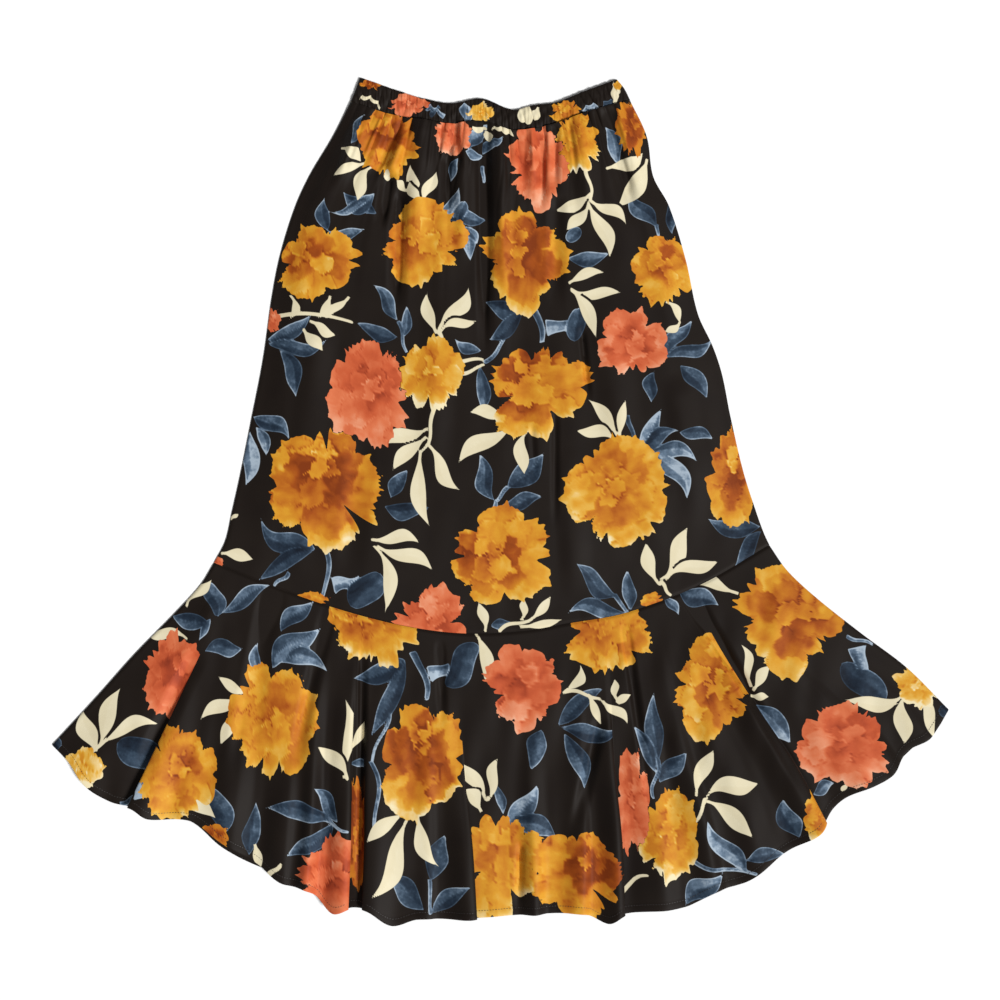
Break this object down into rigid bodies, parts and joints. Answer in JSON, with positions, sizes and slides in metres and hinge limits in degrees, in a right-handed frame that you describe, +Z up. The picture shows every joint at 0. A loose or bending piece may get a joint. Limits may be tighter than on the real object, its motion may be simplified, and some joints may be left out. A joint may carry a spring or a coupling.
{
  "type": "flounce skirt",
  "caption": "Pull-on midi skirt laid flat: gathered elastic waistband, A-line body and a wide flared flounce below a curved drop seam.",
  "frame": {"origin": "on the surface the skirt lies on, under the middle of its outline", "axes": "+Y towards the waist, +X to the right as seen from above with the front up, +Z up from the surface"},
  "size_m": [0.965, 0.9108, 0.0165],
  "materials": {
    "printed_viscose": "near-black viscose crepe with a floral print, soft sheen"
  },
  "bodies": {
    "root": {"waistband_front": "printed_viscose", "waistband_back": "printed_viscose", "body_front": "printed_viscose", "body_back": "printed_viscose", "flounce_front": "printed_viscose", "flounce_back": "printed_viscose"}
  },
  "joints": []
}
